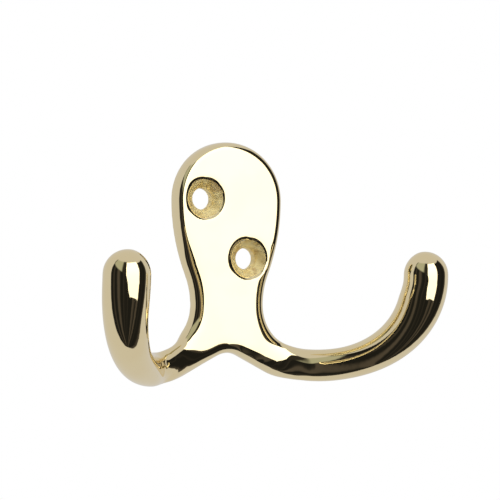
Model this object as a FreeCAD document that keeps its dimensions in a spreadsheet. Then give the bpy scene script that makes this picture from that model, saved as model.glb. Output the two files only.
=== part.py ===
"""Double robe hook: one polished brass casting.

A keyhole-shaped plate stands flat on the wall and narrows to a waist.
Below the waist it flares out into two arms that leave the plate sideways,
turn away from the wall and curl up to rounded tips.  Two countersunk holes,
set on a slant, take the wall screws.

The origin lies on the wall, behind the centre of the round crown.
X is to the right, Y goes into the wall and Z is up.  Sizes are in mm.
"""
import FreeCAD, Part
import os
import Sketcher
from math import atan2, cos, hypot, pi, radians, sin, sqrt
from FreeCAD import Vector

SIZES = [
    # the plate
    ("crown_radius", 12.5, "round top of the plate"),
    ("neck_half_width", 8.1, "half the width at the waist"),
    ("neck_radius", 17.0, "hollow curve above the waist"),
    ("neck_drop", 22.45, "crown centre down to the waist"),
    ("flare_radius", 9.2, "hollow curve from the waist out to the arm"),
    ("root_angle", 28.0, "slope of the arm where it leaves the plate, degrees"),
    ("root_height", 7.36, "height of the arm where it leaves the plate"),
    ("arch_radius", 5.5, "tip of the arch between the arms"),
    ("plate_thickness", 4.5, "wall to the front face"),
    ("edge_radius", 2.1, "front edge of the plate"),
    ("arch_edge_radius", 2.7, "softer front edge round the arch"),
    ("back_edge_radius", 0.35, "edge that meets the wall"),
    # the screw holes
    ("upper_hole_x", -6.05, "upper screw hole, sideways"),
    ("upper_hole_z", 0.2, "upper screw hole, up"),
    ("lower_hole_x", 4.15, "lower screw hole, sideways"),
    ("lower_hole_z", -12.5, "lower screw hole, up"),
    ("screw_bore", 4.6, "bore for the shank"),
    ("head_rim", 9.0, "rim of the countersink at the front face"),
    # the arms
    ("root_handle", 7.7, "how far the arm keeps the plate's direction"),
    ("bend_side", 22.85, "point that pulls the arm outwards, from the root"),
    ("bend_out", 20.45, "the same point, away from the wall"),
    ("bend_fall", 4.3, "the same point, below the root"),
    ("tip_handle", 5.65, "how far the tip keeps straight up"),
    ("tip_side", 22.35, "centre of the rounded tip, sideways from the root"),
    ("tip_out", 25.55, "the same centre, away from the wall"),
    ("tip_rise", 17.85, "the same centre, above the root"),
    ("stem_radius", 3.45, "round part of the arm"),
    ("tip_radius", 4.85, "swollen end of the arm"),
]

ROUND_AT = 0.2       # share of the arm's length where it has become round
SWELL_FROM = 0.3     # share where it starts to thicken
SWELL_TO = 0.92      # share where it has its full thickness
SECTIONS = 18
FLAT_ARC = radians(5)    # half the arc that each flat side turns into


def make_sheet(doc):
    """Sheet of driving sizes: name, value and meaning in one row each."""
    sheet = doc.addObject("Spreadsheet::Sheet", "Sizes")
    for row, (name, value, meaning) in enumerate(SIZES, 1):
        sheet.set("A%d" % row, meaning)
        sheet.set("B%d" % row, str(value))
        sheet.setAlias("B%d" % row, name)
    doc.recompute()
    return sheet


def body_plane(body, role):
    """One of the body's own origin planes."""
    return [f for f in body.Origin.OriginFeatures if f.Role == role][0]


def outline_points(s):
    """Where the curves of the right half of the plate meet, as (x, z)."""
    lean = radians(s.root_angle)
    across = (sin(lean), cos(lean))
    step_in = s.crown_radius - s.neck_half_width
    both_radii = (step_in ** 2 + s.neck_drop ** 2) / (2 * step_in)
    shoulder_radius = both_radii - s.neck_radius
    shoulder = (s.crown_radius - shoulder_radius, 0.0)
    neck = (s.neck_half_width + s.neck_radius, -s.neck_drop)
    flare = (s.neck_half_width + s.flare_radius, -s.neck_drop)
    span = s.flare_radius + s.root_height
    to_arch = span + s.arch_radius
    arch_z = flare[1] + (flare[0] * across[0] - to_arch) / across[1]
    return {
        "shoulder": shoulder, "neck": neck, "flare": flare, "arch": (0.0, arch_z),
        "shoulder_radius": shoulder_radius,
        "turn": atan2(neck[1] - shoulder[1], neck[0] - shoulder[0]),
        "root_top": (flare[0] - s.flare_radius * across[0],
                     flare[1] - s.flare_radius * across[1]),
        "root_foot": (flare[0] - span * across[0], flare[1] - span * across[1]),
        "arch_side": (s.arch_radius * across[0], arch_z + s.arch_radius * across[1]),
        "arch_top": (0.0, arch_z + s.arch_radius),
    }


def add_arc(sketch, centre, radius, start, end):
    """Arc of a circle, counter-clockwise from one angle to the other."""
    circle = Part.Circle(Vector(centre[0], centre[1], 0), Vector(0, 0, 1), radius)
    return sketch.addGeometry(Part.ArcOfCircle(circle, start, end))


def add_line(sketch, start, end):
    """Straight line between two (x, z) points."""
    return sketch.addGeometry(Part.LineSegment(Vector(*start, 0), Vector(*end, 0)))


def drive(sketch, kind, *where, **size):
    """Add one dimension to a sketch and bind it to its expression."""
    value, expression = size["value"], size["to"]
    index = sketch.addConstraint(Sketcher.Constraint(kind, *where, value))
    sketch.setExpression("Constraints[%d]" % index, expression)


def draw_half_plate(sketch, s):
    """Right half of the plate's outline, down to the root of the arm."""
    p = outline_points(s)
    lean = radians(s.root_angle)
    crown = add_arc(sketch, (0, 0), s.crown_radius, 0, pi / 2)
    shoulder = add_arc(sketch, p["shoulder"], p["shoulder_radius"], p["turn"], 0)
    neck = add_arc(sketch, p["neck"], s.neck_radius, p["turn"] + pi, pi)
    flare = add_arc(sketch, p["flare"], s.flare_radius, pi, 1.5 * pi - lean)
    root = add_line(sketch, p["root_top"], p["root_foot"])
    flank = add_line(sketch, p["root_foot"], p["arch_side"])
    arch = add_arc(sketch, p["arch"], s.arch_radius, pi / 2 - lean, pi / 2)
    middle = add_line(sketch, p["arch_top"], (0, s.crown_radius))
    rule = Sketcher.Constraint
    x_axis, y_axis = -1, -2
    sketch.addConstraint([
        rule("Coincident", crown, 3, x_axis, 1),
        rule("PointOnObject", crown, 2, y_axis),
        rule("PointOnObject", shoulder, 3, x_axis),
        rule("Tangent", crown, 1, shoulder, 2),
        rule("Tangent", shoulder, 1, neck, 1),
        rule("Tangent", neck, 2, flare, 1),
        rule("Horizontal", neck, 3, flare, 3),
        rule("Coincident", flare, 2, root, 1),
        rule("PointOnObject", flare, 3, root),
        rule("Coincident", root, 2, flank, 1),
        rule("Perpendicular", root, flank),
        rule("Tangent", flank, 2, arch, 1),
        rule("PointOnObject", arch, 3, y_axis),
        rule("PointOnObject", arch, 2, y_axis),
        rule("Coincident", arch, 2, middle, 1),
        rule("Coincident", middle, 2, crown, 2),
    ])
    drive(sketch, "Radius", crown, value=s.crown_radius, to="Sizes.crown_radius")
    drive(sketch, "Radius", neck, value=s.neck_radius, to="Sizes.neck_radius")
    drive(sketch, "Radius", flare, value=s.flare_radius, to="Sizes.flare_radius")
    drive(sketch, "Radius", arch, value=s.arch_radius, to="Sizes.arch_radius")
    drive(sketch, "DistanceX", x_axis, 1, neck, 2, value=s.neck_half_width,
          to="Sizes.neck_half_width")
    drive(sketch, "DistanceY", neck, 3, x_axis, 1, value=s.neck_drop,
          to="Sizes.neck_drop")
    drive(sketch, "Distance", root, value=s.root_height, to="Sizes.root_height")
    drive(sketch, "Angle", flank, value=pi - lean,
          to="180 deg - Sizes.root_angle * 1 deg")


def edges_at(shape, depth, keep):
    """Names of the edges that lie flat at one depth and pass a test."""
    names = []
    for number, edge in enumerate(shape.Edges, 1):
        box = edge.BoundBox
        flat = abs(box.YMin - depth) < 1e-4 and abs(box.YMax - depth) < 1e-4
        if flat and keep(edge):
            names.append("Edge%d" % number)
    return names


def round_edges(body, base, name, edges, size):
    """Fillet some edges of the last feature with a size from the sheet."""
    fillet = body.newObject("PartDesign::Fillet", name)
    fillet.Base = (base, edges)
    fillet.setExpression("Radius", "Sizes." + size)
    body.Document.recompute()
    return fillet


def make_plate(doc, s):
    """The plate with its rounded edges and both countersunk holes."""
    p = outline_points(s)
    body = doc.addObject("PartDesign::Body", "Plate")
    sketch = body.newObject("Sketcher::SketchObject", "HalfOutline")
    sketch.AttachmentSupport = [(body_plane(body, "XZ_Plane"), "")]
    sketch.MapMode = "FlatFace"
    doc.recompute()
    draw_half_plate(sketch, s)
    pad = body.newObject("PartDesign::Pad", "HalfPlate")
    pad.Profile = sketch
    pad.setExpression("Length", "Sizes.plate_thickness")
    doc.recompute()

    def middle(edge):
        return edge.valueAt((edge.FirstParameter + edge.LastParameter) / 2)

    def beyond_root(edge):
        """True on the two cut lines: the centre line and the arm's root."""
        m = middle(edge)
        top, foot = p["root_top"], p["root_foot"]
        off = hypot(m.x - (top[0] + foot[0]) / 2, m.z - (top[1] + foot[1]) / 2)
        return abs(m.x) < 1e-4 or off < 1e-3

    def around_arch(edge):
        m = middle(edge)
        return m.z < p["arch_top"][1] + 1e-6 and m.x < p["root_foot"][0]

    front = -s.plate_thickness
    upper = edges_at(pad.Shape, front, lambda e: not beyond_root(e) and not around_arch(e))
    last = round_edges(body, pad, "FrontEdge", upper, "edge_radius")
    arch = edges_at(last.Shape, front, lambda e: not beyond_root(e) and around_arch(e))
    last = round_edges(body, last, "ArchEdge", arch, "arch_edge_radius")
    back = edges_at(last.Shape, 0.0, lambda e: not beyond_root(e))
    last = round_edges(body, last, "BackEdge", back, "back_edge_radius")

    mirror = body.newObject("PartDesign::Mirrored", "WholePlate")
    mirror.TransformMode = "Whole shape"
    mirror.MirrorPlane = (body_plane(body, "YZ_Plane"), [""])
    body.Tip = mirror
    doc.recompute()
    add_holes(doc, body, s)
    return body


def add_holes(doc, body, s):
    """Bore and countersink for the two wall screws, cut from the front."""
    sketch = body.newObject("Sketcher::SketchObject", "HoleCentres")
    sketch.AttachmentSupport = [(body_plane(body, "XZ_Plane"), "")]
    sketch.MapMode = "FlatFace"
    sketch.setExpression("AttachmentOffset.Base.z", "Sizes.plate_thickness")
    doc.recompute()
    for name in ("upper", "lower"):
        x = s.getPropertyByName(name + "_hole_x")
        z = s.getPropertyByName(name + "_hole_z")
        circle = Part.Circle(Vector(x, z, 0), Vector(0, 0, 1), s.screw_bore / 2)
        index = sketch.addGeometry(circle)
        drive(sketch, "Radius", index, value=s.screw_bore / 2, to="Sizes.screw_bore / 2")
        drive(sketch, "DistanceX", -1, 1, index, 3, value=x, to="Sizes.%s_hole_x" % name)
        drive(sketch, "DistanceY", -1, 1, index, 3, value=z, to="Sizes.%s_hole_z" % name)
    doc.recompute()
    hole = body.newObject("PartDesign::Hole", "ScrewHoles")
    hole.Profile = sketch
    doc.recompute()
    hole.ThreadType = "None"
    hole.DepthType = "ThroughAll"
    hole.setExpression("Diameter", "Sizes.screw_bore")
    hole.HoleCutType = "Countersink"
    hole.HoleCutCustomValues = True
    hole.setExpression("HoleCutDiameter", "Sizes.head_rim")
    hole.HoleCutCountersinkAngle = 90
    doc.recompute()


def ease(share):
    """Soft change from 0 to 1, level at both ends."""
    share = min(max(share, 0.0), 1.0)
    return share * share * (3 - 2 * share)


def centre_line(s):
    """Curve through the middle of the right arm, from its root to its tip."""
    p = outline_points(s)
    lean = radians(s.root_angle)
    root = Vector((p["root_top"][0] + p["root_foot"][0]) / 2, -s.plate_thickness / 2,
                  (p["root_top"][1] + p["root_foot"][1]) / 2)
    bend = root + Vector(s.bend_side, -s.bend_out, -s.bend_fall)
    tip = root + Vector(s.tip_side, -s.tip_out, s.tip_rise)
    curve = Part.BezierCurve()
    curve.setPoles([
        root,
        root + Vector(cos(lean), 0, -sin(lean)) * s.root_handle,
        bend,
        tip - Vector(0, 0, s.tip_handle),
        tip,
    ])
    return curve


def blend(a, b, share):
    """Mix two numbers."""
    return a + (b - a) * share


def box_net(half_up, half_out, corners):
    """Control points of a rounded box, as (up, out, weight).

    The corners are the reach of each round along the two sides, clockwise
    from the upper front one.  Sides and corners take turns, the top side first.
    """
    signs = [(1, 1), (-1, 1), (-1, -1), (1, -1)]
    net = []
    for turn, ((su, so), (ru, ro)) in enumerate(zip(signs, corners)):
        along_side = (su * half_up, so * (half_out - ro), 1.0)
        corner = (su * half_up, so * half_out, sqrt(0.5))
        along_front = (su * (half_up - ru), so * half_out, 1.0)
        points = [along_side, corner, along_front]
        net += points if turn % 2 == 0 else points[::-1]
    sides = []
    for k in range(4):
        before, after = net[3 * k - 1], net[3 * k]
        middle = ((before[0] + after[0]) / 2, (before[1] + after[1]) / 2, 1.0)
        sides += [before, middle] + net[3 * k:3 * k + 2]
    return sides


def round_net(half_up, half_out):
    """The same sixteen control points laid on an ellipse."""
    net = []
    for k in range(4):
        axis = k * pi / 2
        half = pi / 4 - FLAT_ARC
        for angle, swing in ((-FLAT_ARC, 0), (0, FLAT_ARC), (FLAT_ARC, 0), (pi / 4, half)):
            out = 1 / cos(swing)
            net.append((half_up * out * cos(axis + angle),
                        half_out * out * sin(axis + angle), cos(swing)))
    return net


def arm_section(s, curve, share, up):
    """Closed outline of the arm at one share of its length."""
    place = curve.value(share)
    along = curve.tangent(share)[0]
    up = (up - along * up.dot(along)).normalize()
    out = along.cross(up)
    p = outline_points(s)
    top, foot = p["root_top"], p["root_foot"]
    root_half = hypot(top[0] - foot[0], top[1] - foot[1]) / 2
    rounding = ease(share / ROUND_AT)
    swell = ease((share - SWELL_FROM) / (SWELL_TO - SWELL_FROM))
    radius = blend(s.stem_radius, s.tip_radius, swell)
    half_up = blend(root_half, radius, rounding)
    half_out = blend(s.plate_thickness / 2, radius, rounding)
    low_up = blend(s.arch_edge_radius, 1.5 * s.stem_radius, rounding)
    low_out = blend(s.arch_edge_radius, s.stem_radius, rounding)
    back = blend(s.back_edge_radius, s.stem_radius / 2, rounding)
    edge = s.edge_radius
    boxed = box_net(half_up, half_out, [(edge, edge), (low_up, low_out), (back, back), (back, back)])
    rounded = round_net(half_up, half_out)
    edges = []
    net = [tuple(blend(a, b, rounding) for a, b in zip(q, r)) for q, r in zip(boxed, rounded)]
    spots = [place + up * q[0] + out * q[1] for q in net]
    for k in range(8):
        arc = Part.BezierCurve()
        arc.setPoles([spots[2 * k], spots[2 * k + 1], spots[(2 * k + 2) % 16]])
        arc.setWeight(2, net[2 * k + 1][2])
        edges.append(arc.toShape())
    return Part.Wire(edges), up


def make_arm(doc, s):
    """Right arm: a skin over sections that turn from the plate's own
    rounded-box profile into a circle, closed by a half ball at the tip."""
    curve = centre_line(s)
    lean = radians(s.root_angle)
    up = Vector(sin(lean), 0, cos(lean))
    wires = []
    for step in range(SECTIONS):
        share = (step / (SECTIONS - 1)) ** 1.4
        wire, up = arm_section(s, curve, share, up)
        wires.append(wire)
    skin = Part.makeLoft(wires, True)
    tip = curve.value(1.0)
    ball = Part.makeSphere(s.tip_radius, tip, Vector(0, 0, 1), 0, 90, 360)
    arm = doc.addObject("Part::Feature", "Arm")
    arm.Shape = skin.fuse(ball).removeSplitter()
    return arm


def build():
    """Make the hook in a new document and write its STEP file."""
    doc = FreeCAD.newDocument("RobeHook")
    sheet = make_sheet(doc)
    plate = make_plate(doc, sheet)
    right = make_arm(doc, sheet)
    left = doc.addObject("Part::Mirroring", "LeftArm")
    left.Source = right
    left.Normal = Vector(1, 0, 0)
    hook = doc.addObject("Part::MultiFuse", "Hook")
    hook.Shapes = [plate, right, left]
    hook.Refine = True
    hook.Label = "hook_body"
    hook.Placement = FreeCAD.Placement(Vector(0, 0, 0), FreeCAD.Rotation())
    doc.recompute()
    for item in doc.Objects:
        bad = [word for word in item.State if word in ("Invalid", "Error")]
        if bad:
            raise RuntimeError("%s is %s" % (item.Name, bad))
    shape = hook.Shape
    if shape.isNull() or not shape.isValid() or len(shape.Solids) != 1:
        raise RuntimeError("the hook is not one sound solid")
    os.makedirs("parts", exist_ok=True)
    shape.exportStep("parts/hook_body.step")
    print("hook_body", round(shape.Volume, 1), "mm3", shape.BoundBox)


build()
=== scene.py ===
# %% [markdown]
# # A double robe hook in polished brass
# One small casting: a keyhole-shaped plate with two countersunk holes, and two
# arms that flow out of its foot and curl up to round tips. It is polished like
# a mirror, so what the eye reads as its shape is really the room around it,
# bent by the metal. The lesson is therefore about three things: a skin with no
# flat spots, a brass that is bright but not perfect, and a small studio worth
# reflecting.

# %% Load the solid
import bpy
import numpy as np
from math import cos, radians, sin
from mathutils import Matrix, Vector


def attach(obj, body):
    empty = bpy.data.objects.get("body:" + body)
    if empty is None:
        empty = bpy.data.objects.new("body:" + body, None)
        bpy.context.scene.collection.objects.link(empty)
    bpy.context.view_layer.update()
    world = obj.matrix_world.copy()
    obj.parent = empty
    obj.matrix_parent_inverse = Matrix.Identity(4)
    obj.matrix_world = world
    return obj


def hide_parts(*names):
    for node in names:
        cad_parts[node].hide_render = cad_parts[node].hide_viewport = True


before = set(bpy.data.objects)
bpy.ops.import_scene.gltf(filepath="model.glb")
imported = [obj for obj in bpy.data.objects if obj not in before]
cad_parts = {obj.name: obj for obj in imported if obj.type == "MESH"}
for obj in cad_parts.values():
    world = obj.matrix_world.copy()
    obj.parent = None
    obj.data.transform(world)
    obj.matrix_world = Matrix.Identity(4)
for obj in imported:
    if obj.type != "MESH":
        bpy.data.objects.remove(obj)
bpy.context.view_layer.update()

MM = 0.001
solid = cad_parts["hook_body"]

# %% [markdown]
# ## Where the camera stands
# The camera comes first, because everything that follows is judged through
# it. It stands 36 cm away, 26.5 degrees to the left and a touch below, with a
# long lens, so the plate is seen almost without perspective. Its place could
# be typed in as three numbers, but two angles and a distance are easier to
# correct, one at a time.

# %% Camera
TURN, CLIMB = radians(-26.5), radians(-1.0)    # 0, 0 is straight in front
DISTANCE = 358.6
LOOKS_AT = Vector((6.42, 0, -10.58))

view_from = Vector((sin(TURN) * cos(CLIMB), -cos(TURN) * cos(CLIMB), sin(CLIMB)))
camera_data = bpy.data.cameras.new("camera")
camera_data.sensor_width = 36
camera_data.lens = 118.66
camera_data.clip_start = 0.01
camera = bpy.data.objects.new("camera", camera_data)
bpy.context.scene.collection.objects.link(camera)
camera.location = (LOOKS_AT + view_from * DISTANCE) * MM
camera.rotation_euler = view_from.to_track_quat("Z", "Y").to_euler()
bpy.context.scene.camera = camera
print("camera at", [round(place / MM) for place in camera.location], "mm")

# %% [markdown]
# ## A skin without flat spots
# The solid is exact, but its surface is cut into loose triangles, and mirror
# polish shows the join of every two. Smooth shading hides such joins on matt
# things only. A casting is also never as crisp as its drawing: the buffing
# wheel pulls every edge a little round. Both are mended by one move. A copy of
# the solid is merged, then remeshed into even quads about a quarter of a
# millimetre wide, and those are relaxed until light runs over them without a
# step.

# %% Copy the solid and remesh it
GRAIN = 0.262 * MM             # width of a quad

bpy.ops.object.select_all(action="DESELECT")
hook = solid.copy()
hook.data = solid.data.copy()
hook.name = "brass_hook"
hook.data.name = "brass_hook"
bpy.context.scene.collection.objects.link(hook)
hook.select_set(True)
bpy.context.view_layer.objects.active = hook
bpy.ops.mesh.customdata_custom_splitnormals_clear()
bpy.ops.object.mode_set(mode="EDIT")
bpy.ops.mesh.select_all(action="SELECT")
bpy.ops.mesh.remove_doubles(threshold=0.001 * MM)
bpy.ops.object.mode_set(mode="OBJECT")
remesh = hook.modifiers.new("even_quads", "REMESH")
remesh.mode = "VOXEL"
remesh.voxel_size = GRAIN
bpy.ops.object.modifier_apply(modifier=remesh.name)
print("skin:", len(hook.data.polygons), "quads")

# %% [markdown]
# ## Knowing where a vertex lies
# Wear follows the arms and the screw holes, so each vertex has to know where
# it lies on them. Weights could be painted by hand, but sums do it the same
# way each time, and one rule serves both arms, because they mirror each other.
# The sums are in millimetres. Two curves turn a distance into a share: a soft
# step and a bell.

# %% Soft steps, bells and distances
ROOT = (11.25, -33.82)                   # middle of an arm's root, x and z
ARM_FALL = radians(28)                   # how steeply an arm leaves the plate
ARM_WAY = (cos(ARM_FALL), -sin(ARM_FALL))
HOLES = ((-6.05, 0.2), (4.15, -12.5))    # axes of the screw holes, x and z


def rise(value, start, end):
    """0 before start, 1 after end and a soft step between them."""
    share = np.clip((value - start) / (end - start), 0, 1)
    return share * share * (3 - 2 * share)


def swell(value, middle, width):
    """Bell curve: 1 in the middle and next to nothing two widths away."""
    return np.exp(-((value - middle) / width) ** 2)


def skin_points():
    """Places of the skin's vertices in millimetres, one row each."""
    flat = np.empty(len(hook.data.vertices) * 3, dtype=np.float32)
    hook.data.vertices.foreach_get("co", flat)
    return flat.reshape(-1, 3) / MM


def along_and_across(points):
    """Distance along the arm from its root, and across it upwards."""
    side = np.abs(points[:, 0]) - ROOT[0]
    up = points[:, 2] - ROOT[1]
    return side * ARM_WAY[0] + up * ARM_WAY[1], -side * ARM_WAY[1] + up * ARM_WAY[0]


def from_holes(points):
    """Distance from the axis of each screw hole, one row a hole."""
    return np.array([np.hypot(points[:, 0] - x, points[:, 2] - z) for x, z in HOLES])


points = skin_points()
print(len(points), "vertices,", int((from_holes(points) < 4.5).sum()), "in the holes")

# %% [markdown]
# ## Where the wheel pressed harder
# The edge of a real casting isn't one even round. Where the plate runs into
# the arms the wheel has to turn a corner, and it takes more off: the lower
# edge goes round, and so does the waist, more so on the left. Sculpting tools
# could do this. Here each vertex is told how much it may relax, by its place,
# and a smooth modifier does the rubbing.

# %% Relax the foot and the waist
LEVELS = 20                    # steps from no weight to the full weight
RIGHT_WAIST = 0.35             # how much of the left side's wear the right one has


def relax(name, weights, times):
    """Relax the skin so many times, each vertex by its own weight."""
    group = hook.vertex_groups.new(name=name)
    levels = np.round(weights * LEVELS).astype(int)
    for level in range(1, LEVELS + 1):
        group.add(np.flatnonzero(levels == level).tolist(), level / LEVELS, "REPLACE")
    smooth = hook.modifiers.new(name, "SMOOTH")
    smooth.factor = 0.5
    smooth.iterations = times
    smooth.vertex_group = name
    bpy.ops.object.modifier_apply(modifier=name)
    hook.vertex_groups.clear()
    print(name, "moved", int((levels > 0).sum()), "vertices")


along, across = along_and_across(points)
off_wall = -points[:, 1]
foot = rise(off_wall, 1.0, 2.4) * swell(along, -0.5, 4.5) * (1 - rise(off_wall, 7, 9))
relax("foot", foot, times=130)

points = skin_points()
off_wall = -points[:, 1]
below_crown = rise(-points[:, 2], 6, 14)
clear_of_holes = rise(from_holes(points).min(axis=0), 4.6, 5.2)
waist = rise(off_wall, 1.6, 3.0) * below_crown * clear_of_holes
waist *= np.where(points[:, 0] < 0, 1.0, RIGHT_WAIST)
relax("waist", waist * (1 - rise(off_wall, 5, 6)), times=90)

# %% [markdown]
# ## A flat cut by the belt
# Before the wheel comes the belt: it grinds the face of the plate flat. That
# takes the top off the cast round edge, so the rim of the face is crisper than
# the wall below it. A bevel would need the old sharp edge, which is gone, so
# the round is redrawn. In sums, the quarter circle of the edge becomes a
# quarter of an ellipse, narrow across the face and tall down the wall. Only
# the depth of each vertex changes, so the outline stays as it is.

# %% Grind the face of the crown
THICK, EDGE = 4.5, 2.1         # the plate, and the round edge it was cast with
RIM, WALL = 1.45, 2.75         # the edge after the belt, across and down
WALL_END = 4.0                 # below this the wall is left alone


def ground(depth):
    """New depth below the face for a point of the edge that lay this deep."""
    down = np.clip(depth, 0, EDGE)
    inset = EDGE - np.sqrt(EDGE ** 2 - (EDGE - down) ** 2)
    reach = np.clip(1 - inset / RIM, 0, 1)
    edge = WALL * (1 - np.sqrt(1 - reach ** 2))
    wall = WALL + (depth - EDGE) * (WALL_END - WALL) / (WALL_END - EDGE)
    moved = np.where(depth < EDGE, edge, wall)
    return np.where((depth > 0) & (depth < WALL_END), moved, depth)


def place_skin(points):
    """Put the skin's vertices back where the sums say, in millimetres."""
    hook.data.vertices.foreach_set("co", (points * MM).astype(np.float32).ravel())
    hook.data.update()


points = skin_points()
depth = points[:, 1] + THICK
crown = rise(points[:, 2], -14, -8) * rise(from_holes(points).min(axis=0), 4.5, 5.2)
points[:, 1] += crown * (ground(depth) - depth)
place_skin(points)
print("ground", int((crown > 0.5).sum()), "vertices")

# %% [markdown]
# ## The face leans towards the arms
# On the real hook the face starts to lean forward before an arm begins, and
# the arm then comes off the wall more slowly than it was drawn. It was rubbed
# by hand, so the left root is held back much further than the right one.
# Proportional editing could push the skin there by eye. Two bell curves do the
# same by numbers, and soft steps keep the back and the tips where they are.

# %% Lean the face and hold the roots back
LEAN = 0.65                    # how far the face leans forward
HELD_BACK = (2.25, 0.4)        # how far the arms are held back, left and right

points = skin_points()
along, across = along_and_across(points)
left = points[:, 0] < 0
off_wall = -points[:, 1]
lean = LEAN * swell(along, 0.8, 2.6) * rise(off_wall, 0.5, 3.5)
held_back = np.where(left, *HELD_BACK) * swell(along, 5.5, 3.0)
held_back *= rise(across, -4.4, -1.2) * rise(off_wall, 0.5, 6.5)
forward = (lean - held_back) * (1 - rise(across, 4.5, 8.0))
points[:, 1] -= forward
print("roots held back by up to", round(-float(forward.min()), 2), "mm")

# %% [markdown]
# ## Worn round above and below
# The lower half of the face is worn into a slow curve that meets the round of
# the arm. The curve begins at the arch's edge and climbs over the face on the
# way out. The upper edge gets rounder too, again more so on the left. More
# relaxing would round them as well, but it would shrink the arms. A curve that
# starts level takes metal off one side only and leaves no line where it
# starts.

# %% Wear the face and the upper edge
LOWER_BEND = 0.045             # how quickly the lower half bends away
HIGHEST_START = 3.2            # how far up its curve may begin
UPPER_BEND = (0.14, 0.04)      # the same of the upper edge, left and right
UPPER_START = 0.7              # where the upper edge begins to bend


def slow_curve(bend, reach):
    """Depth of a curve that starts level and has bent away over this reach."""
    return bend * np.clip(reach, 0, None) ** 2 / 2


def wear(points, worn):
    """Take metal off the front; what lies near the wall stays."""
    points[:, 1] += worn * rise(-points[:, 1], 1.0, 4.0)


slow_climb = 1.55 + 0.18 * along       # from the arch's edge outwards
steep_climb = 3.4 + 0.86 * along       # and from there towards the upper edge
lower_start = np.minimum(np.maximum(steep_climb, slow_climb), HIGHEST_START)
lower_bend = LOWER_BEND * rise(along, -8.5, -4.0) * (1 - rise(along, 1.5, 6.0))
upper_bend = np.where(left, *UPPER_BEND) * rise(along, -4, -1)
upper_bend *= 1 - rise(along, 3.5, 6.0)
worn = slow_curve(lower_bend, lower_start - across)
worn += slow_curve(upper_bend, across - UPPER_START)
wear(points, worn)
print("curves up to", round(float(worn.max()), 2), "mm deep")

# %% [markdown]
# ## The worn left flank
# The left edge of the plate was polished longer than the right one, and its
# round reaches further over the face. The same slow curve does it, but here it
# has to know how far a vertex lies inside the outline. The outline is measured
# on the skin: the plate's half width near the wall, every half millimetre up.

# %% Wear the left flank of the plate
FLANK_BEND, FLANK_REACH = 0.12, 3.5    # how quickly it bends, and how wide it is
STEP = 0.5                             # distance between two measured heights
SLACK = 0.3                            # room for points that are just outside

off_wall = -points[:, 1]
heights = np.arange(-33, -4, STEP)
wall = points[off_wall < 1.5]
widths = [np.abs(wall[np.abs(wall[:, 2] - height) < STEP / 2, 0]).max()
          for height in heights]
inside = np.interp(points[:, 2], heights, widths) - np.abs(points[:, 0])
on_plate = left & (off_wall < THICK + SLACK) & (inside > -SLACK)
flank = on_plate * rise(-points[:, 2], 5, 12) * (1 - rise(-points[:, 2], 26, 33))
worn = slow_curve(FLANK_BEND * flank, FLANK_REACH - inside)
wear(points, worn)
print("flank worn by up to", round(float(worn.max()), 2), "mm")

# %% [markdown]
# ## The back of an arm's root
# Behind, an arm comes off the wall at once, so its back is round where the
# plate's is flat. The upper side is let down over most of a quarter circle.
# Relaxing alone would need hundreds of passes to get as far, and would move
# the front with it.

# %% Round the back of the roots
ROUND_DEPTH, ROUND_FALL = 4.2, 3.6     # how far forward and down it reaches
ROUND_END = 0.93                       # the share of the quarter circle used
HALF_ROOT = 3.68                       # half the height of a root

behind = np.clip((points[:, 1] + ROUND_DEPTH) / ROUND_DEPTH, 0, ROUND_END)
fall = ROUND_FALL * (1 - np.sqrt(1 - behind ** 2))
fall *= rise(along, -4.0, 2.0) * (1 - rise(along, 5.0, 8.0))
fall *= np.clip(across / HALF_ROOT, 0, 1)
points[:, 0] += np.sign(points[:, 0]) * ARM_WAY[1] * fall
points[:, 2] -= ARM_WAY[0] * fall
print("root rounded by up to", round(float(fall.max()), 2), "mm")

# %% [markdown]
# ## Slimmer tips
# The inner sides of the tips are easy to reach with the wheel and come out a
# little slimmer than they were cast. A scaled tip would move its outer side
# too, so only what faces the plate is moved outwards.

# %% Thin the inner sides of the tips
THIN_LEFT, THIN_RIGHT = 0.37, 0.45

from_middle = np.abs(points[:, 0])
inner = rise(from_middle, 18, 24) * (1 - rise(from_middle, 30, 34))
thin = np.where(left, THIN_LEFT * rise(across, 10, 18),
                THIN_RIGHT * rise(points[:, 2], -21, -17))
points[:, 0] += np.sign(points[:, 0]) * inner * thin
place_skin(points)
print("tips thinned by up to", round(float((inner * thin).max()), 2), "mm")

# %% [markdown]
# ## Soft rims and a last rub
# Each countersink begins with a sharp rim. The wheel runs over its upper part
# and softens that, and the lower part stays crisp. A bevel would be even all
# round, so the rims are relaxed by weight too. The last pass goes over the
# whole skin and takes out what the sums left uneven.

# %% Relax the rims and the whole skin
RIM_RADIUS, RIM_WIDTH = 4.45, 0.5
RIM_KEPT = 0.75                # how much of a crisp rim the last pass spares

distances = from_holes(points)
hole_heights = np.array(HOLES)[distances.argmin(axis=0), 1]
rims = swell(distances.min(axis=0), RIM_RADIUS, RIM_WIDTH)
rims *= rise(-points[:, 1], 3.0, 3.8)
upper = rise(points[:, 2] - hole_heights, -3.6, -1.2)
relax("rims", rims * upper, times=22)
relax("all_over", 1 - RIM_KEPT * rims * (1 - upper), times=12)
bpy.ops.object.shade_smooth()

# %% [markdown]
# ## Tools for building a finish
# A finish is a small network of nodes. Writing one by hand means the same
# three moves again and again: add a node, set its sockets, link it on. A few
# helpers make those moves short enough to read as a recipe.

# %% Node helpers
def new_material(name):
    """Material with its own node tree; returns both and the shader."""
    material = bpy.data.materials.new(name)
    material.use_nodes = True
    tree = material.node_tree
    return material, tree, tree.nodes["Principled BSDF"]


def plug(tree, socket, value):
    """Give a socket a plain value or another node's output."""
    if isinstance(value, bpy.types.NodeSocket):
        tree.links.new(value, socket)
    else:
        socket.default_value = value


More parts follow.
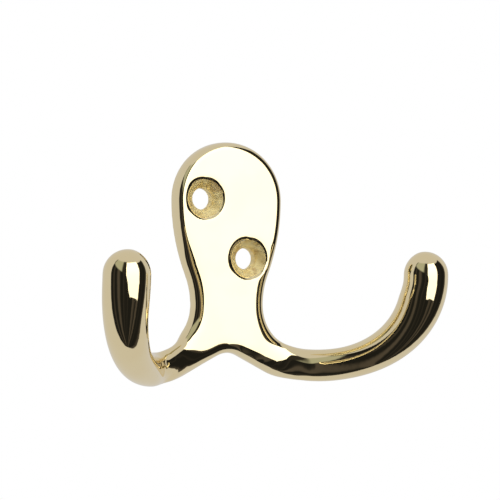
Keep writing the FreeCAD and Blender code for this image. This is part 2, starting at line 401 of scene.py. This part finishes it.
def add_node(tree, kind, inputs=None, **settings):
    """Add a node; inputs takes plain values or another node's output."""
    node = tree.nodes.new(kind)
    for name, value in settings.items():
        setattr(node, name, value)
    for name, value in (inputs or {}).items():
        plug(tree, node.inputs[name], value)
    return node


# %% Helpers for sums and colours
def mix(tree, share, low, high):
    """Blend two colours."""
    inputs = {0: share, 6: low, 7: high}       # 6 and 7 are the two colours
    return add_node(tree, "ShaderNodeMix", inputs, data_type="RGBA").outputs[2]


def spread(tree, value, low, high, to_low=0.0, to_high=1.0):
    """Stretch one range of values over another, softly at both ends."""
    ranges = {"From Min": low, "From Max": high, "To Min": to_low, "To Max": to_high}
    return add_node(tree, "ShaderNodeMapRange", {"Value": value, **ranges},
                    interpolation_type="SMOOTHSTEP").outputs["Result"]


def fade(tree, value, low, high):
    """1 before low, 0 after high and a soft step between them."""
    return spread(tree, value, low, high, 1.0, 0.0)


def math_node(tree, operation, *values):
    """One sum; each value is a number or another node's output."""
    return add_node(tree, "ShaderNodeMath", dict(enumerate(values)),
                    operation=operation).outputs[0]


def product(tree, first, second):
    """First times second."""
    return math_node(tree, "MULTIPLY", first, second)


def noise(tree, place, size, detail=2.0, stretch=None):
    """Noise whose spots are about one size across, in metres."""
    if stretch:
        stretched = {"Vector": place, "Scale": stretch}
        place = add_node(tree, "ShaderNodeMapping", stretched).outputs[0]
    inputs = {"Vector": place, "Scale": 1 / size, "Detail": detail}
    return add_node(tree, "ShaderNodeTexNoise", inputs).outputs["Fac"]


# %% [markdown]
# ## Two finishes on one casting
# The wheel doesn't reach into the screw holes, so their walls stay dull and
# stained, as cast, while the rest shines. Faces could be picked out and given
# a second material, but the border would then follow the quads in steps. A
# mask by distance from each hole's axis draws it round, and a second one by
# depth keeps it off the flat back.

# %% Find the walls of the holes
CUT_FROM, CUT_TO = 4.0, 4.12             # where the cast finish ends, from the axis
BACK_FROM, BACK_TO = -0.3, -0.1          # where it ends behind, in y


def in_a_hole(tree, place):
    """1 on the walls of the two countersunk holes, 0 elsewhere."""
    x, y, z = add_node(tree, "ShaderNodeSeparateXYZ", {"Vector": place}).outputs
    radii = []
    for hole_x, hole_z in HOLES:
        aside = math_node(tree, "SUBTRACT", x, hole_x * MM)
        up = math_node(tree, "SUBTRACT", z, hole_z * MM)
        square = math_node(tree, "ADD", product(tree, aside, aside),
                           product(tree, up, up))
        radii.append(math_node(tree, "SQRT", square))
    cut = fade(tree, math_node(tree, "MINIMUM", *radii), CUT_FROM * MM, CUT_TO * MM)
    return product(tree, cut, fade(tree, y, BACK_FROM * MM, BACK_TO * MM))


# %% [markdown]
# ## Polished brass
# The plate and arms were buffed on a wheel: bright, faintly wavy where the
# hand pressed, and crossed by hair-thin scratches that only show where a
# bright reflection ends. A metal with one colour and one roughness would look
# drawn, and a picture of brass would show its edges. Noise at several sizes
# does better: a warmer tone here and there, the scratches, the waves, and the
# pits and stains of the cast walls.

# %% The brass
BRASS = (0.89, 0.77, 0.49, 1)
WARM_BRASS = (0.86, 0.71, 0.42, 1)
CAST_BRASS = (0.86, 0.72, 0.38, 1)
PALE_CAST_BRASS = (0.96, 0.87, 0.56, 1)
STAIN = (0.48, 0.30, 0.12, 1)
TONE_SIZE, WAVE_SIZE, SCRATCH_SIZE = 9 * MM, 7 * MM, 0.25 * MM
MOTTLE_SIZE, STAIN_SIZE = 1.8 * MM, 2.6 * MM
WAVE_HEIGHT, PIT_HEIGHT = 0.006 * MM, 0.06 * MM


def make_brass():
    """Polished brass, as cast in the holes."""
    material, tree, shader = new_material("polished_brass")
    place = add_node(tree, "ShaderNodeTexCoord").outputs["Object"]
    hole = in_a_hole(tree, place)
    mottle = noise(tree, place, MOTTLE_SIZE, 2.5)

    tone = spread(tree, noise(tree, place, TONE_SIZE), 0.35, 0.7, 0.0, 0.35)
    polished = mix(tree, tone, BRASS, WARM_BRASS)
    cast = mix(tree, spread(tree, mottle, 0.35, 0.62), CAST_BRASS, PALE_CAST_BRASS)
    stain = spread(tree, noise(tree, place, STAIN_SIZE, 3.0), 0.52, 0.68)
    cast = mix(tree, product(tree, stain, 0.5), cast, STAIN)
    plug(tree, shader.inputs["Base Color"], mix(tree, hole, polished, cast))

    scratches = noise(tree, place, SCRATCH_SIZE, 3.0, stretch=(1.0, 1.0, 0.04))
    haze = spread(tree, scratches, 0.45, 0.75, 0.018, 0.07)
    rough = spread(tree, mottle, 0.3, 0.7, 0.55, 0.75)
    mixed = add_node(tree, "ShaderNodeMix", {"Factor": hole, "A": haze, "B": rough})
    plug(tree, shader.inputs["Roughness"], mixed.outputs["Result"])

    wave = noise(tree, place, WAVE_SIZE, 0.0)
    waves = add_node(tree, "ShaderNodeBump",
                     {"Height": wave, "Strength": 1.0, "Distance": WAVE_HEIGHT})
    pits = add_node(tree, "ShaderNodeBump",
                    {"Height": mottle, "Strength": hole, "Distance": PIT_HEIGHT,
                     "Normal": waves.outputs[0]})
    plug(tree, shader.inputs["Normal"], pits.outputs[0])
    shader.inputs["Metallic"].default_value = 1.0
    print("brass made of", len(tree.nodes), "nodes")
    return material


hook.data.materials.clear()
hook.data.materials.append(make_brass())
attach(hook, "root")
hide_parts("hook_body")

# %% [markdown]
# ## The studio
# A mirror shows the whole room, so the room is built as one round tent. Its
# panels are painted in one material, by direction: a big white silk in front,
# a pale board to the left, dark cloth around and below, and pale paper on the
# rest. Separate cards would do too, but one tent leaves no gaps between them,
# and its hems can be as soft or as sharp as they are wanted. The camera looks
# through it, as it looks through a lamp, and sees plain white.

# %% Directions and windows
def tent_directions(tree):
    """Azimuth and elevation of a place on the tent; 0, 0 is in front."""
    place = add_node(tree, "ShaderNodeTexCoord").outputs["Object"]
    unit = add_node(tree, "ShaderNodeVectorMath", {0: place}, operation="NORMALIZE")
    split = add_node(tree, "ShaderNodeSeparateXYZ", {"Vector": unit.outputs[0]})
    x, y, z = split.outputs
    turn = math_node(tree, "ARCTAN2", x, product(tree, y, -1.0))
    climb = math_node(tree, "ARCSINE", z)
    return math_node(tree, "DEGREES", turn), math_node(tree, "DEGREES", climb)


def window(tree, value, low, high, hem):
    """1 between low and high, 0 outside, with soft hems this wide."""
    return product(tree, spread(tree, value, low - hem / 2, low + hem / 2),
                   fade(tree, value, high - hem / 2, high + hem / 2))


# %% [markdown]
# ## Cloth and board
# The dark cloth hangs nearly all round and gives the arms their dark middles.
# Its folds are noise along the azimuth, so they run straight down, as folds
# do. A picture of cloth would do it too, but would have to be shipped along.
# The board leans on the left, with a slanted lower edge. It shows as a pale
# corner on each tip and on the left flank.

# %% Cloth and board
CLOTH = (0.014, 0.014, 0.014, 1)
BROWN_CLOTH = (0.078, 0.068, 0.062, 1)
CLOTH_ACROSS, CLOTH_UP, CLOTH_HEM = (-103, 84), (-95, 46), 3    # degrees
BOARD = (0.46, 0.48, 0.40, 1)
BOARD_SHADE = (0.03, 0.028, 0.024, 1)
BOARD_ACROSS, LIT_ACROSS = (-106, -31), (-101, -50)    # the board, and its lit part
BOARD_SLANT = 0.55             # how much its lower edge climbs to the left


def hang_cloth(tree, azimuth, elevation, colour):
    """Dark cloth with brown folds, over the colour that is there."""
    folds = add_node(tree, "ShaderNodeTexNoise",
                     {"W": azimuth, "Scale": 0.055, "Detail": 0.5},
                     noise_dimensions="1D").outputs["Fac"]
    cloth = mix(tree, spread(tree, folds, 0.46, 0.72), CLOTH, BROWN_CLOTH)
    place = product(tree, window(tree, azimuth, *CLOTH_ACROSS, CLOTH_HEM),
                    window(tree, elevation, *CLOTH_UP, CLOTH_HEM))
    return mix(tree, place, colour, cloth)


def lean_board(tree, azimuth, elevation, colour):
    """Pale board to the left, over the colour that is there."""
    board = mix(tree, window(tree, azimuth, *LIT_ACROSS, 10), BOARD_SHADE, BOARD)
    slant = math_node(tree, "ADD", elevation, product(tree, azimuth, BOARD_SLANT))
    height = product(tree, spread(tree, slant, -20, -12), fade(tree, elevation, 52, 58))
    place = product(tree, height, window(tree, azimuth, *BOARD_ACROSS, 6))
    return mix(tree, place, colour, board)


# %% [markdown]
# ## The silk
# The one lamp of this studio is a wide silk, lit from behind and a little
# brighter towards its top. It whitens the whole face of the plate and stands
# on each tip as a bright window. Its left hem slants below the horizon, and
# its right hem is straight. An area lamp would make a window too, but it can't
# have one slanted side.

# %% The silk
SILK_LOW = (1.72, 1.72, 1.64, 1)
SILK_HIGH = (2.15, 2.15, 2.04, 1)
SILK_LEFT, SILK_RIGHT = (-30.75, -29.25), (30.2, 31.8)    # its side hems, degrees
SILK_UP, SILK_HEM = (-30, 52), 1.5
SILK_SLANT = 0.6               # how much the left hem moves, below the horizon


def hang_silk(tree, azimuth, elevation, colour):
    """Bright silk in front, over the colour that is there."""
    silk = mix(tree, spread(tree, elevation, -25, 30), SILK_LOW, SILK_HIGH)
    below = product(tree, math_node(tree, "MINIMUM", elevation, 0.0), SILK_SLANT)
    slanted = math_node(tree, "ADD", azimuth, below)
    place = product(tree, spread(tree, slanted, *SILK_LEFT),
                    fade(tree, azimuth, *SILK_RIGHT))
    place = product(tree, place, window(tree, elevation, *SILK_UP, SILK_HEM))
    return mix(tree, place, colour, silk)


# %% [markdown]
# ## Putting up the tent
# The tent is a sphere far larger than the hook, so that its panels stand in
# nearly the same direction from every part of the metal. A painted world would
# do the same, but the world is also the background, which has to stay white.

# %% Tent
PAPER = (0.66, 0.65, 0.65, 1)
TENT_RADIUS = 0.9
TENT_MIDDLE = (0, -0.01, -0.015)         # the middle of the hook


def make_tent():
    """One sphere round the hook, its panels painted by direction."""
    bpy.ops.object.select_all(action="DESELECT")
    bpy.ops.mesh.primitive_uv_sphere_add(segments=96, ring_count=48,
                                         radius=TENT_RADIUS, location=TENT_MIDDLE)
    tent = bpy.context.object
    tent.name = "studio_tent"
    material, tree, _ = new_material("tent_panels")
    tree.nodes.clear()
    azimuth, elevation = tent_directions(tree)
    colour = hang_cloth(tree, azimuth, elevation, PAPER)
    colour = lean_board(tree, azimuth, elevation, colour)
    colour = hang_silk(tree, azimuth, elevation, colour)
    glow = add_node(tree, "ShaderNodeEmission", {"Color": colour, "Strength": 1.0})
    add_node(tree, "ShaderNodeOutputMaterial", {"Surface": glow.outputs[0]})
    tent.data.materials.append(material)
    tent.visible_camera = False
    print("tent painted with", len(tree.nodes), "nodes")


make_tent()

# %% [markdown]
# ## The floor
# A pale floor lies under the hook. It is lit by the tent and keeps the soft
# shadow, and a little glow of its own lifts it to the white of the room. More
# light would whiten it too, but the brass would then burn out.

# %% Floor
FLOOR_DEPTH, FLOOR_SIZE = -0.3, 1.6
FLOOR_GLOW = 0.6


def make_floor():
    """Pale floor that keeps the shadow and stays out of the reflections."""
    bpy.ops.object.select_all(action="DESELECT")
    bpy.ops.mesh.primitive_plane_add(size=FLOOR_SIZE, location=(0, 0, FLOOR_DEPTH))
    floor = bpy.context.object
    floor.name = "pale_floor"
    material, _, shader = new_material("pale_floor")
    shader.inputs["Base Color"].default_value = (0.92, 0.92, 0.92, 1)
    shader.inputs["Roughness"].default_value = 0.9
    shader.inputs["Emission Color"].default_value = (1, 1, 1, 1)
    shader.inputs["Emission Strength"].default_value = FLOOR_GLOW
    floor.data.materials.append(material)
    floor.visible_glossy = False
    print("floor", FLOOR_SIZE, "m wide,", -FLOOR_DEPTH, "m down")


make_floor()

# %% [markdown]
# ## The background
# Beyond the tent there is nothing but a white world, which is all that the
# camera sees behind the hook. The plain view transform keeps the colours as
# they were mixed.

# %% White surroundings for the camera
world = bpy.data.worlds.new("white_room")
world.use_nodes = True
world.node_tree.nodes["Background"].inputs["Color"].default_value = (1, 1, 1, 1)
bpy.context.scene.world = world
bpy.context.scene.view_settings.view_transform = "Standard"
print("world:", world.name)
